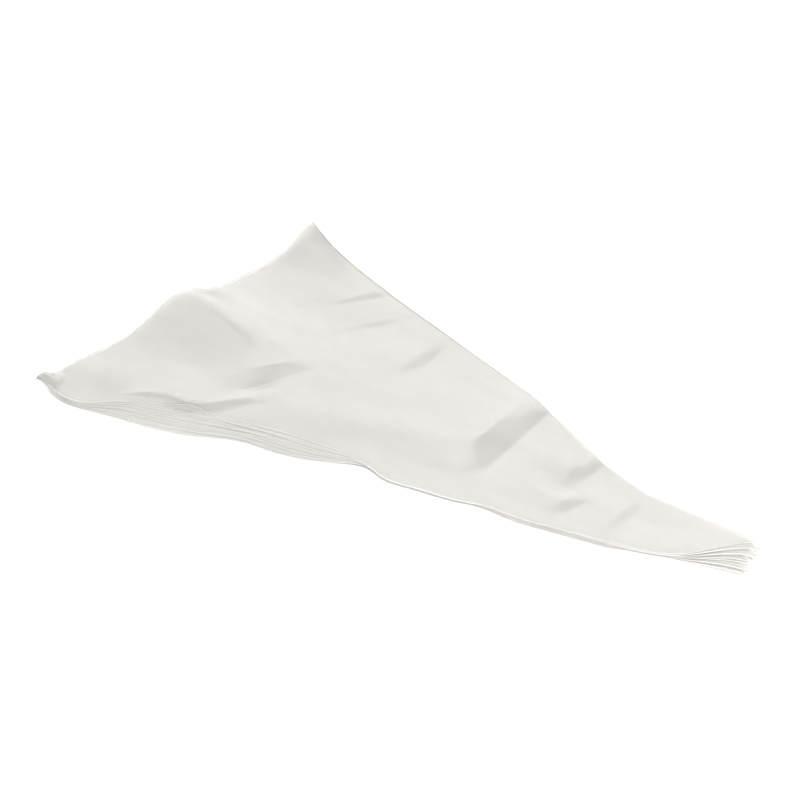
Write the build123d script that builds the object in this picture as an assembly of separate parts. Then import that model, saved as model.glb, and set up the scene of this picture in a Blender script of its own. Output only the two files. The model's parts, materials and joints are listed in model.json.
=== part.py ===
from build123d import *
import os
from math import atan2, cos

# A loose stack of disposable piping bags, lying flat and empty. Each bag is a long triangle of
# clear film: two film panels, joined along both long sides by a thin melted bead. The two beads
# run into each other at the tip and close it. The wide end is the open mouth.
# Millimetres. +X runs from the mouths to the tips, +Z is up, and the table is z = 0. The origin is
# under the middle of the whole stack.

# One bag
BAG_LENGTH = 460.0  # cut edge of the mouth to the closed tip
MOUTH_WIDTH = 268.0  # flat width of the open end
TIP_WIDTH = 2.4  # flat width of the closed end, where the two side beads meet
FILM = 0.1  # one thickness of film
INSIDE_AIR = 0.6  # air left between the two panels of an empty bag
BEAD_WIDTH = 1.3  # width of the melted side bead
BEAD_ROUND = 0.25  # rounding of the bead's outer edges
BAG_HEIGHT = 2 * FILM + INSIDE_AIR

# The stack, from the bottom bag to the top one. The bags lie fanned about the near mouth corner:
# each has a turn in degrees, seen from above, and a slip in millimetres along and across.
AIR_BETWEEN = 0.6  # air between one bag and the next
PITCH = BAG_HEIGHT + AIR_BETWEEN
FAN = [
    (-2.4, 1.5, -6.0),
    (-2.1, -1.0, -5.0),
    (-2.3, 2.0, -4.0),
    (-1.7, 0.5, -3.5),
    (-1.8, -1.5, -2.5),
    (-1.2, 1.0, -2.0),
    (-1.4, 2.0, -1.0),
    (-0.8, -0.5, -0.5),
    (-0.9, 1.0, 0.0),
    (-0.2, 0.0, 0.5),
]


SIDE_SLOPE = (MOUTH_WIDTH - TIP_WIDTH) / 2 / BAG_LENGTH
BEAD_ACROSS = BEAD_WIDTH / cos(atan2(SIDE_SLOPE, 1.0))  # the bead's width along Y


def side_y(x):
    """Half the flat width of the bag at x."""
    return MOUTH_WIDTH / 2 - SIDE_SLOPE * x


def slab(corners, low, height):
    """A flat piece with straight sides, standing on z = low."""
    outline = Face(Wire.make_polygon([(x, y, low) for x, y in corners]))
    return Solid.extrude(outline, Vector(0, 0, height))


BEADS_MEET_X = BAG_LENGTH - (BEAD_ACROSS - TIP_WIDTH / 2) / SIDE_SLOPE
PANEL_MOUTH_Y = side_y(0) - BEAD_ACROSS


def film_panel(low):
    """One film panel, which runs in to the inner faces of the beads."""
    return slab([(0, -PANEL_MOUTH_Y), (BEADS_MEET_X, 0), (0, PANEL_MOUTH_Y)], low, FILM)


def side_bead(side):
    """The melted bead along one side, -1 near or +1 far, as thick as the empty bag."""
    tip_y = side_y(BAG_LENGTH)
    corners = [(0, side_y(0)), (BAG_LENGTH, tip_y), (BAG_LENGTH, 0), (BEADS_MEET_X, 0)]
    corners.append((0, PANEL_MOUTH_Y))
    bead = slab([(x, side * y) for x, y in corners], 0, BAG_HEIGHT)
    rim = [edge for edge in bead.edges() if on_outside(edge, side)]
    return bead.fillet(BEAD_ROUND, rim)


def on_outside(edge, side):
    """Is this one of the bead's two long outer edges?"""
    middle = edge.center()
    return edge.length > BAG_LENGTH / 2 and abs(middle.Y - side * side_y(middle.X)) < 0.01


def bag_pieces(name):
    """The four pieces of one bag, lying with its mouth's middle at the origin."""
    return {
        f"{name}_lower_film": film_panel(0),
        f"{name}_upper_film": film_panel(FILM + INSIDE_AIR),
        f"{name}_near_weld": side_bead(-1),
        f"{name}_far_weld": side_bead(1),
    }


def fanned(piece, level, turn, along, across):
    """A piece moved to its bag's place: turned about the near mouth corner, slipped and raised."""
    corner = Vector(0, -MOUTH_WIDTH / 2, 0)
    about_corner = Pos(corner) * Rot(0, 0, turn) * Pos(-corner)
    return Pos(along, across, level * PITCH) * about_corner * piece


pieces = {}
for level, (turn, along, across) in enumerate(FAN):
    for node, piece in bag_pieces(f"bag_{level + 1:02d}").items():
        pieces[node] = fanned(piece, level, turn, along, across)

box = Compound(list(pieces.values())).bounding_box()
centre = Pos(-box.center().X, -box.center().Y, 0)
print("stack size", box.size, "centre shift", centre.position)

os.makedirs("parts", exist_ok=True)
for node, piece in pieces.items():
    placed = centre * piece
    placed.label = node
    export_step(placed, f"parts/{node}.step")
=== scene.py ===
import json
from math import radians

import bpy
import numpy as np
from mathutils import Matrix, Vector


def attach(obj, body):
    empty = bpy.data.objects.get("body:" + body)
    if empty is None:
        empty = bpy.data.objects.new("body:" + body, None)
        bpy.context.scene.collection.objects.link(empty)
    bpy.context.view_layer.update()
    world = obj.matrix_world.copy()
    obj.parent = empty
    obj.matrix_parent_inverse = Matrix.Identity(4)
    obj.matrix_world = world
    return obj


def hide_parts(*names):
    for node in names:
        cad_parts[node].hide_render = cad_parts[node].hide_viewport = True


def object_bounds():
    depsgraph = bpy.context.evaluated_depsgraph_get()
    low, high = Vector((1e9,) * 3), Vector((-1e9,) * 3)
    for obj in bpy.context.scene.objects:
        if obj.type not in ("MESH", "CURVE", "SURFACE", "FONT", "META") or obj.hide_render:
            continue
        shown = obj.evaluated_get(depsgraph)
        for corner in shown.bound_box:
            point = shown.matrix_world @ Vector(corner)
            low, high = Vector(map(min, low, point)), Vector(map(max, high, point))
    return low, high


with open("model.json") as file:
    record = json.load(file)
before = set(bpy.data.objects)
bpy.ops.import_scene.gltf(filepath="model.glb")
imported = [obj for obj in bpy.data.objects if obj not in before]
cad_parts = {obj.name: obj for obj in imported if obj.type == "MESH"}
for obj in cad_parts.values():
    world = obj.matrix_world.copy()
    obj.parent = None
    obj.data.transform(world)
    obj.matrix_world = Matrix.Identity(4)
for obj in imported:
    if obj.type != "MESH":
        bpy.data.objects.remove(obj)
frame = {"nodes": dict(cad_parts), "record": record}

cad_low, cad_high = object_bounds()

# ---------------------------------------------------------------------------------------------
# Film panels. Each bag is two long triangles of clear, slightly milky polyethylene film, cut from
# a flat blown tube and lying on each other. The ten bags lie in one loose heap: curled up at both
# mouth corners, humped between them, slipped along the near side and crossed by soft folds.
# ---------------------------------------------------------------------------------------------

MM = 0.001
BAGS = list(frame["record"]["behaviour"]["bodies"])
TOP_LEVEL = len(BAGS) - 1
FILM_THICK = 0.05 * MM  # half the CAD's, for more air between the pressed bags


def panel_corners(node):
    """Near mouth corner, far mouth corner and tip of a panel's CAD solid, in plan, in mm."""
    points = [vertex.co for vertex in frame["nodes"][node].data.vertices]
    near = min(points, key=lambda point: point.y)
    far = max(points, key=lambda point: point.y)
    tip = max(points, key=lambda point: point.x)
    return [np.array([point.x, point.y]) / MM for point in (near, far, tip)]


# The heap's own directions, taken from the top bag: u runs from its mouth to its tip, v from the
# middle of its mouth to the far side. All lengths and places in the heap are in mm.
near_end, far_end, tip_end = panel_corners(f"{BAGS[-1]}_upper_film")
MOUTH_MIDDLE = (near_end + far_end) / 2
MOUTH_HALF = (far_end - near_end)[1] / 2
BAG_LONG = (tip_end - MOUTH_MIDDLE)[0]
CURLED_CORNER = MOUTH_MIDDLE + np.array([-1.0, -136.5])  # all near mouth corners meet here


def hill(distance, width):
    """A smooth bump, 1 at distance 0 and nearly gone at twice the width."""
    return np.exp(-((distance / width) ** 2))


def ease(value, start, end):
    """0 before start, 1 after end and smooth between them."""
    share = np.clip((value - start) / (end - start), 0, 1)
    return share * share * (3 - 2 * share)


def between(value, start, full, leave, end):
    """0 before start, 1 from full to leave, and 0 again after end."""
    return ease(value, start, full) * (1 - ease(value, leave, end))


def step_down(off, width, before, after, power=1.2, up=0.5):
    """One unit down over the width, from a rise of `up`; it fades out on both sides."""
    share = np.clip(off / width, 0, 1)
    face = np.where(off < 0, up * np.exp(np.minimum(off, 0) / before), up - share**power)
    foot = (up - 1) * np.exp(-np.maximum(off - width, 0) / after)
    return np.where(off < width, face, foot)


# The folds. Each has a crest line from one (u, v) to another, the width of its steep face at both
# ends of that line, the slope of the face, and how far the dip at its foot reaches.
FOLDS = [
    ((258, 44), (264, -25), 17, 20, 0.34, 20),
    ((325, 22), (328, -6), 12, 12, 0.30, 20),
    ((342, -20), (340, -35), 10, 10, 0.25, 6),
    ((373, 5), (377, -27), 8, 7, 0.27, 20),
    ((164, 68), (169, 28), 9, 10, 0.27, 20),
    ((106, -17), (92, -46), 13, 18, 0.37, 7),
    ((92, 106), (74, 72), 8, 5, 0.15, 20),
    ((122, 84), (104, 46), 8, 5, 0.12, 20),
]
FOLD_BACK = 28  # how far the rise behind a crest reaches
FOLD_FADE = 22  # half the length over which a fold fades at each end of its crest line


def fold(u, v, crest_from, crest_to, width_from, width_to, slope, dip):
    """A soft fold across the heap: the film drops steeply right of the crest line."""
    start, along = np.array(crest_from, float), np.subtract(crest_to, crest_from)
    length = np.hypot(*along)
    along = along / length
    run = (u - start[0]) * along[0] + (v - start[1]) * along[1]
    off = (v - start[1]) * along[0] - (u - start[0]) * along[1]
    width = width_from + (width_to - width_from) * np.clip(run / length, 0, 1)
    fade = min(FOLD_FADE, 0.6 * length)
    ends = between(run, -fade, fade, length - fade, length + fade)
    return slope * width * ends * step_down(off, width, FOLD_BACK, dip)


# The shoulder: a long crease in the film beside the near side, as a line of (u, v). Behind it the
# film lies high; it falls steeply toward the near side, and a thin ridge stands along it.
SHOULDER = [
    (40, -112), (50, -106.5), (62, -97.5), (76, -92.5), (92, -91),
    (100, -86), (108, -75), (118, -62), (130, -55),
]
SHOULDER_SLOPE = 0.68
SHOULDER_RIDGE_HIGH = 1.1


def shoulder(u, v):
    """Height that the shoulder adds to the heap."""
    line_u, line_v = np.array(SHOULDER, float).T
    off = 0.8 * (np.interp(u, line_u, line_v) - v)
    width = 2.5 + 3.5 * between(u, 56, 88, 102, 134)
    ridge = SHOULDER_RIDGE_HIGH * hill(off + 1, 1.5) * (1 - ease(u, 92, 106))
    drop = SHOULDER_SLOPE * width * step_down(off, width, 20, 10, 1.0, 0.6)
    return between(u, 44, 62, 114, 134) * (drop + ridge)


SIDE_HIGH = 2.3  # height of the heap along its near and far sides
MIDDLE_RISE = 2.5  # how much higher its middle is, up to where it narrows
MOUTH_RISE = 0.9
NEAR_CORNER_CURL, NEAR_CORNER_SWELL = 6.5, 4.5
HUMP_HIGH, HUMP_AT = 15.5, -7  # the hump in the mouth, and its v
FAR_CORNER_CURL = 15.0
TIPS_RISE = 3.2


def heap_top(u, v):
    """Height of the heap's upper side over the table."""
    side = MOUTH_HALF * (1 - u / BAG_LONG)
    from_near = np.maximum(v + side, 0)
    from_far = np.maximum(side - v, 0)
    height = SIDE_HIGH + MIDDLE_RISE * ease(from_near, 0, 50) * (1 - ease(u, 270, 380))
    height += MOUTH_RISE * hill(u, 40)
    height += NEAR_CORNER_CURL * hill(np.hypot(u, v + MOUTH_HALF), 9)
    height += NEAR_CORNER_SWELL * hill(v + 116, 26) * hill(u, 40)
    height += HUMP_HIGH * hill(v - HUMP_AT, np.where(v < HUMP_AT, 32, 30)) * hill(u, 70)
    height += FAR_CORNER_CURL * np.exp(-np.abs(u) / 30) * hill(from_far, 25)
    height += TIPS_RISE * ease(u, 404, 463)
    for crease in FOLDS:
        height += fold(u, v, *crease)
    return height + shoulder(u, v)


NEAR_CORNER_LIFT, FAR_CORNER_LIFT = 11.0, 7.0  # how far the corners' underside is off the table
NEAR_SIDE_LIFT, TIPS_LIFT = 1.2, 1.2


def heap_bottom(u, v):
    """Height of the heap's underside, which lies on the table nearly everywhere."""
    side = MOUTH_HALF * (1 - u / BAG_LONG)
    height = NEAR_CORNER_LIFT * hill(np.hypot(u, v + MOUTH_HALF), 11)
    height += FAR_CORNER_LIFT * np.exp(-np.abs(u) / 38) * hill(side - v, 20)
    height += NEAR_SIDE_LIFT * hill(u - 216, 16) * hill(v + side, 26)
    return height + TIPS_LIFT * ease(u, 420, 462)


FILMS_PRESSED = 1.7  # thickness of the whole heap where it is pressed flat
PRESSED_SOFTLY = 0.4  # how gradually the thickness reaches that
CORNER_SQUEEZED = 0.6  # share of the thickness that is taken out where all corners meet


def heap_layers(spot):
    """Underside and thickness of the whole heap at points in plan."""
    u, v = (spot - MOUTH_MIDDLE).T
    bottom = heap_bottom(u, v)
    spare = (heap_top(u, v) - bottom - FILMS_PRESSED) / PRESSED_SOFTLY
    thick = FILMS_PRESSED + PRESSED_SOFTLY * np.logaddexp(0, spare)
    at_corner = hill(np.hypot(*(spot - CURLED_CORNER).T), 20)
    return bottom, thick * (1 - CORNER_SQUEEZED * at_corner)


def near_edge(level, u):
    """Where the near side of a bag's CAD outline is, as v at u."""
    near, _, tip = panel_corners(f"{BAGS[level]}_upper_film")
    (near_u, near_v), (tip_u, tip_v) = near - MOUTH_MIDDLE, tip - MOUTH_MIDDLE
    return np.interp(u, [near_u, tip_u], [near_v, tip_v])


NARROWED = 10.5  # how far the top bag's far side comes in beyond the middle
TIPS_FANNED = 11.0
MIDDLE_SHIFTED = 8.0  # how far the bottom bag lies toward the far side at its middle
BOTTOM_OUT = 4.0  # how far the bottom bag stands out beside the near mouth corner
TOP_SLIPPED = [(8.0, 100, 38), (5.0, 160, 34)]  # more slip of the top bag: how far, at u, width
NEAR_SIDE_WAVES = [(7.0, 222, 20), (-4.0, 175, 26), (2.5, 262, 24), (3.5, 309, 17)]
GATHERED = 0.9  # share of the near sides' spread that is taken up where they lie together


def lie_in_plan(plan, level, corner, from_near, from_far):
    """Where a bag's points lie in plan once it has slipped and gathered a little in the heap."""
    u = plan[:, 0] - MOUTH_MIDDLE[0]
    share = level / TOP_LEVEL
    near_part = hill(np.maximum(from_near, 0) / np.maximum(from_near + from_far, 1), 0.45)
    fanned = ease(u, 32, 62)
    together = (1 - fanned) * (1 - hill(u, 34)) + between(u, 196, 245, 422, 458)

    # The whole width of the bag
    sideways = -share * NARROWED * between(u, 245, 345, 365, 418) * (1 - near_part)
    sideways += share * TIPS_FANNED * ease(u, 404, 456)
    middle_side = between(u, 108, 150, 262, 330) + 0.8 * ease(u, 385, 412)
    sideways += (1 - share) * MIDDLE_SHIFTED * middle_side
    sideways -= BOTTOM_OUT * (1 - share * fanned) * between(u, 8, 30, 85, 130) * near_part

    # The strip along the near side
    slipped = 7.0 * fanned * (1 - ease(u, 200, 250))
    slipped += sum(far * hill(u - place, width) for far, place, width in TOP_SLIPPED)
    sideways += share * slipped * hill(from_near, 40)
    sideways += 0.6 * np.sin(u / 23 + 3.1 * level) * hill(from_near, 20) * ease(u, 20, 60)
    waves = sum(far * hill(u - place, width) for far, place, width in NEAR_SIDE_WAVES)
    sideways += (1 - share * (1 - together)) * waves * hill(from_near, 22)
    spread = near_edge(level, u) - near_edge(0, u)
    sideways -= GATHERED * spread * together * near_part

    curled = hill(np.hypot(*(plan - corner).T), 34)[:, None] * (CURLED_CORNER - corner)
    return plan + curled + np.stack([np.zeros(len(plan)), sideways], 1)


# Where a bag's films and its welded sides lie, as shares of the space from one bag to the next
LIES_AT = {"lower": 0.15, "upper": 0.65}
WELD_LIES_AT = 0.4
WELD_DRAWS_IN = 3.0  # mm, how far from a welded side its two films are drawn together


def lie_of_film(plan, level, panel, corner, from_near, from_far):
    """Where the points of one flat film come to lie in the heap: x, y and z in metres."""
    spot = lie_in_plan(plan, level, corner, from_near, from_far)
    u, v = (spot - MOUTH_MIDDLE).T
    share = (level + LIES_AT[panel]) / len(BAGS)
    welded = hill(np.minimum(from_near, from_far), WELD_DRAWS_IN)
    share = share + welded * ((level + WELD_LIES_AT) / len(BAGS) - share)
    bottom, thick = heap_layers(spot)
    phase = 2.4 * level
    uneven = 0.004 * np.sin(u / 17 + phase) + 0.003 * np.sin(u / 29 - v / 13 + 1.7 * phase)
    z = bottom + thick * (share + uneven * np.sin(np.pi * share))
    return np.column_stack([spot, z]) * MM


def add(tree, kind, **inputs):
    """A node with some of its inputs set."""
    node = tree.nodes.new(kind)
    for name, value in inputs.items():
        node.inputs[name.replace("_", " ")].default_value = value
    return node


def film_marks_group():
    """The film's own unevenness: how milky it is, and the height of its fine rumpling."""
    group = bpy.data.node_groups.new("film_marks", "ShaderNodeTree")
    group.interface.new_socket("Rumple Size", in_out="INPUT", socket_type="NodeSocketFloat")
    group.interface.new_socket("Milkiness", in_out="OUTPUT", socket_type="NodeSocketFloat")
    group.interface.new_socket("Rumple", in_out="OUTPUT", socket_type="NodeSocketFloat")
    entry = group.nodes.new("NodeGroupInput")
    leave = group.nodes.new("NodeGroupOutput")
    place = group.nodes.new("ShaderNodeTexCoord")
    stretch = add(group, "ShaderNodeMapping", Scale=(0.35, 1.0, 1.0))
    cloud = add(group, "ShaderNodeTexNoise", Scale=22.0, Detail=3.0, Roughness=0.55)
    rumple = add(group, "ShaderNodeTexNoise", Detail=4.0, Roughness=0.6)
    group.links.new(place.outputs["Object"], stretch.inputs["Vector"])
    group.links.new(stretch.outputs["Vector"], cloud.inputs["Vector"])
    group.links.new(stretch.outputs["Vector"], rumple.inputs["Vector"])
    group.links.new(entry.outputs["Rumple Size"], rumple.inputs["Scale"])
    group.links.new(cloud.outputs["Fac"], leave.inputs["Milkiness"])
    group.links.new(rumple.outputs["Fac"], leave.inputs["Rumple"])
    return group


FILM_MARKS = film_marks_group()


def plastic_film(name, clear, milky, see_through, rumple_size, rumple_height):
    """A thin translucent plastic: clear to milky, softly glossy, with faint flow marks."""
    material = bpy.data.materials.new(name)
    material.use_nodes = True
    tree = material.node_tree
    shader = tree.nodes["Principled BSDF"]
    shader.inputs["IOR"].default_value = 1.55
    shader.inputs["Subsurface Weight"].default_value = 0.8
    shader.inputs["Subsurface Radius"].default_value = (1, 1, 1)
    shader.inputs["Subsurface Scale"].default_value = 0.5 * MM
    shader.inputs["Coat Weight"].default_value = 1.0
    shader.inputs["Coat Roughness"].default_value = 0.07
    marks = tree.nodes.new("ShaderNodeGroup")
    marks.node_tree = FILM_MARKS
    marks.inputs["Rumple Size"].default_value = rumple_size
    tone = tree.nodes.new("ShaderNodeValToRGB")
    tone.color_ramp.elements[0].position, tone.color_ramp.elements[1].position = 0.3, 0.7
    tone.color_ramp.elements[0].color = (*clear, 1)
    tone.color_ramp.elements[1].color = (*milky, 1)
    alpha = add(tree, "ShaderNodeMapRange", From_Min=0.3, From_Max=0.7)
    alpha.inputs["To Min"].default_value, alpha.inputs["To Max"].default_value = see_through
    gloss = add(tree, "ShaderNodeMapRange", From_Min=0.3, From_Max=0.7, To_Min=0.14, To_Max=0.2)
    bump = add(tree, "ShaderNodeBump", Strength=0.35, Distance=rumple_height)
    tree.links.new(marks.outputs["Milkiness"], tone.inputs["Fac"])
    tree.links.new(marks.outputs["Milkiness"], alpha.inputs["Value"])
    tree.links.new(marks.outputs["Milkiness"], gloss.inputs["Value"])
    tree.links.new(marks.outputs["Rumple"], bump.inputs["Height"])
    tree.links.new(tone.outputs["Color"], shader.inputs["Base Color"])
    tree.links.new(alpha.outputs["Result"], shader.inputs["Alpha"])
    tree.links.new(gloss.outputs["Result"], shader.inputs["Roughness"])
    tree.links.new(bump.outputs["Normal"], shader.inputs["Normal"])
    return material


CLEAR_FILM, MILKY_FILM = (0.665, 0.654, 0.634), (0.682, 0.674, 0.656)
FILM = plastic_film("milky_film", CLEAR_FILM, MILKY_FILM, (0.46, 0.54), 90.0, 0.4 * MM)


def flat_grid(name, cells_along, cells_across):
    """A flat grid, one unit each way, to be laid out as a film or rolled up as a bead."""
    bpy.ops.object.select_all(action="DESELECT")
    bpy.ops.mesh.primitive_grid_add(x_subdivisions=cells_along, y_subdivisions=cells_across, size=1)
    piece = bpy.context.object
    piece.name = name
    piece.data.name = name
    return piece


def grid_shares(piece):
    """How far along and across the grid each of its points is, from 0 to 1."""
    flat = np.zeros(len(piece.data.vertices) * 3)
    piece.data.vertices.foreach_get("co", flat)
    flat = flat.reshape(-1, 3)
    return flat[:, 0] + 0.5, flat[:, 1] + 0.5


def lay_out(piece, points):
    """Move every point of the piece to its own place, in metres."""
    piece.data.vertices.foreach_set("co", points.ravel())
    piece.data.update()


def side_distances(plan, node):
    """Distances in plan from the near and the far side of a panel."""
    near, far, tip = panel_corners(node)
    distances = []
    for corner, sign in ((near, 1), (far, -1)):
        along = (tip - corner) / np.hypot(*(tip - corner))
        off = plan - corner
        distances.append(sign * (along[0] * off[:, 1] - along[1] * off[:, 0]))
    return distances


BLUNT_TIP = 0.997  # share of the length where the film's own point is cut blunt
FINER_NEAR_SIDE = 1.25  # the grid's cells are smaller toward the near side, where the bags show
CELLS = {TOP_LEVEL: (290, 130), TOP_LEVEL - 1: (240, 105)}
CELLS_BELOW = (150, 60)

for level, bag in enumerate(BAGS):
    for panel in ("lower", "upper"):
        node = f"{bag}_{panel}_film"
        film = flat_grid(f"{bag}_{panel}_panel", *CELLS.get(level, CELLS_BELOW))
        along, across = grid_shares(film)
        along, across = BLUNT_TIP * along, across**FINER_NEAR_SIDE
        near, far, tip = panel_corners(node)
        mouth = near + across[:, None] * (far - near)
        plan = mouth + along[:, None] * (tip - mouth)
        lay_out(film, lie_of_film(plan, level, panel, near, *side_distances(plan, node)))
        thicken = film.modifiers.new("film_thickness", "SOLIDIFY")
        thicken.thickness = FILM_THICK
        thicken.offset = 0
        bpy.ops.object.modifier_apply(modifier=thicken.name)
        bpy.ops.object.shade_smooth()
        film.data.materials.append(FILM)
        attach(film, bag)
        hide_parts(node)

# ---------------------------------------------------------------------------------------------
# Side beads. A hot wire cuts and welds both films in one stroke, which leaves a thin clear bead
# along each side of a bag. The near and far beads run into each other and close the tip.
# ---------------------------------------------------------------------------------------------

# The beads are coloured lighter than the film, a painted highlight that makes the weld lines show as
# thin bright lines along the bags' edges; their clear and milky tones still vary at random like the
# film's.
CLEAR_BEAD_PAINTED_BRIGHT, MILKY_BEAD_PAINTED_BRIGHT = (0.74, 0.725, 0.7), (0.76, 0.745, 0.72)
BEAD = plastic_film("bead_painted_bright", CLEAR_BEAD_PAINTED_BRIGHT, MILKY_BEAD_PAINTED_BRIGHT, (0.5, 0.6), 300.0, 0.2 * MM)
BEAD_HALF_WIDE = 0.65 * MM
BEAD_FILLS = 0.42  # half its height, as a share of the distance from one bag to the next
BEAD_OUT = 0.55  # mm, how far its middle line is outside the film
BEAD_CELLS = (230, 8)  # along and around it

for level, bag in enumerate(BAGS):
    film_node = f"{bag}_lower_film"
    near, far, tip = panel_corners(film_node)
    for side, corner, outward in (("near", near, -1), ("far", far, 1)):
        bead = flat_grid(f"{bag}_{side}_bead", *BEAD_CELLS)
        along, around = grid_shares(bead)
        direction = (tip - corner) / np.hypot(*(tip - corner))
        square = np.array([-direction[1], direction[0]]) * outward
        centre = corner + along[:, None] * (tip - corner) + BEAD_OUT * square
        points = lie_of_film(centre, level, "lower", near, *side_distances(centre, film_node))
        turn = 2 * np.pi * around
        half_high = BEAD_FILLS * heap_layers(points[:, :2] / MM)[1] / len(BAGS)
        points[:, :2] += square * (BEAD_HALF_WIDE * np.cos(turn))[:, None]
        points[:, 2] += half_high * MM * np.sin(turn) * outward
        lay_out(bead, points)
        bpy.ops.object.mode_set(mode="EDIT")
        bpy.ops.mesh.select_all(action="SELECT")
        bpy.ops.mesh.remove_doubles(threshold=0.00001)
        bpy.ops.mesh.select_all(action="DESELECT")
        bpy.ops.mesh.select_non_manifold()
        bpy.ops.mesh.fill_holes(sides=0)
        bpy.ops.mesh.select_all(action="SELECT")
        bpy.ops.mesh.normals_make_consistent(inside=False)
        bpy.ops.object.mode_set(mode="OBJECT")
        bpy.ops.object.shade_smooth()
        bead.data.materials.append(BEAD)
        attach(bead, bag)
        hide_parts(f"{bag}_{side}_weld")

# ---------------------------------------------------------------------------------------------
# The studio: a plain white table, soft light all round, a bright bank of light behind the table
# that the glossy film mirrors, and one large soft lamp in front, on the tips' side.
# ---------------------------------------------------------------------------------------------

TABLE_GAP = 0.4 * MM

bpy.ops.object.select_all(action="DESELECT")
bpy.ops.mesh.primitive_plane_add(size=12, location=(0, 0, cad_low.z - TABLE_GAP))
table = bpy.context.object
table.name = "table"
white = bpy.data.materials.new("white_table")
white.use_nodes = True
table_shader = white.node_tree.nodes["Principled BSDF"]
table_shader.inputs["Base Color"].default_value = (0.9, 0.9, 0.9, 1)
table_shader.inputs["Roughness"].default_value = 0.9
table_shader.inputs["Specular IOR Level"].default_value = 0.1
table.data.materials.append(white)

world = bpy.data.worlds.new("studio")
world.use_nodes = True
bpy.context.scene.world = world
sky = world.node_tree
link = sky.links.new
sky_direction = sky.nodes.new("ShaderNodeTexCoord").outputs["Generated"]


def toward(way, start, full, strength):
    """A soft round or upright patch of light around one direction."""
    facing = sky.nodes.new("ShaderNodeVectorMath")
    facing.operation = "DOT_PRODUCT"
    facing.inputs[1].default_value = way
    patch = add(sky, "ShaderNodeMapRange", From_Min=start, From_Max=full, To_Max=strength)
    patch.interpolation_type = "SMOOTHSTEP"
    link(sky_direction, facing.inputs[0])
    link(facing.outputs["Value"], patch.inputs["Value"])
    return patch.outputs["Result"]


def combine(operation, first, second):
    """A math node with one or two of its inputs linked."""
    node = sky.nodes.new("ShaderNodeMath")
    node.operation = operation
    link(first, node.inputs[0])
    if second:
        link(second, node.inputs[1])
    return node


# The bright bank of light behind the table, by height: 0 is the horizon and 1 straight overhead
BANK_BY_HEIGHT = [(0.0, 0.55), (0.2, 0.85), (0.42, 1.0), (0.59, 1.0), (0.7, 0.0)]
BANK_WAY = (-0.637, 0.771, 0.0)
HIGH_PATCH_WAY = (-0.545, 0.135, 0.828)  # a second patch, higher up over the mouths' side
BANK_STRENGTH, ALL_ROUND_STRENGTH = 1.78, 0.52
split = sky.nodes.new("ShaderNodeSeparateXYZ")
link(sky_direction, split.inputs["Vector"])
band = sky.nodes.new("ShaderNodeValToRGB")
band.color_ramp.interpolation = "EASE"
while len(band.color_ramp.elements) < len(BANK_BY_HEIGHT):
    band.color_ramp.elements.new(1.0)
for stop, (height, glow) in zip(band.color_ramp.elements, BANK_BY_HEIGHT):
    stop.position = height
    stop.color = (glow, glow, glow, 1)
link(split.outputs["Z"], band.inputs["Fac"])
bank = combine("MULTIPLY", band.outputs["Color"], toward(BANK_WAY, 0.35, 0.65, 1.0))
high_patch = toward(HIGH_PATCH_WAY, 0.84, 0.93, 0.9)
bright = combine("MAXIMUM", bank.outputs["Value"], high_patch).outputs["Value"]
total = combine("MULTIPLY_ADD", bright, None)
total.inputs[1].default_value = BANK_STRENGTH
total.inputs[2].default_value = ALL_ROUND_STRENGTH
# The bank is a little warmer than the light all round
warmth = sky.nodes.new("ShaderNodeMix")
warmth.data_type = "RGBA"
warmth.inputs["A"].default_value = (0.98, 0.99, 1.0, 1)
warmth.inputs["B"].default_value = (1.0, 0.965, 0.925, 1)
link(bright, warmth.inputs["Factor"])
link(warmth.outputs["Result"], sky.nodes["Background"].inputs["Color"])
link(total.outputs["Value"], sky.nodes["Background"].inputs["Strength"])


def soft_light(name, place, size, power, colour):
    """A large square lamp that points at the heap."""
    bpy.ops.object.light_add(type="AREA", location=place)
    lamp = bpy.context.object
    lamp.name = name
    lamp.data.size = size
    lamp.data.energy = power
    lamp.data.color = colour
    lamp.rotation_euler = (-Vector(place)).to_track_quat("-Z", "Y").to_euler()


soft_light("front_light", (1.25, -0.95, 1.3), 1.2, 56, (1.0, 0.98, 0.96))

# The camera looks down on the stack from the tip end's near side.
VIEW_AZIMUTH = radians(39.6)
VIEW_ELEVATION = radians(31.2)
VIEW_DISTANCE = 1.44
camera_data = bpy.data.cameras.new("camera")
camera_data.lens = 100
camera_data.sensor_width = 36
camera = bpy.data.objects.new("camera", camera_data)
bpy.context.scene.collection.objects.link(camera)
back = Vector((np.sin(VIEW_AZIMUTH) * np.cos(VIEW_ELEVATION),
               -np.cos(VIEW_AZIMUTH) * np.cos(VIEW_ELEVATION), np.sin(VIEW_ELEVATION)))
AIM_ALONG, AIM_ACROSS = -0.0438, 0.00825  # from the middle of the stack, in metres
aim = Vector(((cad_low.x + cad_high.x) / 2 + AIM_ALONG, (cad_low.y + cad_high.y) / 2 + AIM_ACROSS, 0))
camera.location = aim + back * VIEW_DISTANCE
camera.rotation_euler = back.to_track_quat("Z", "Y").to_euler()
bpy.context.scene.camera = camera
bpy.context.scene.view_settings.view_transform = "Standard"
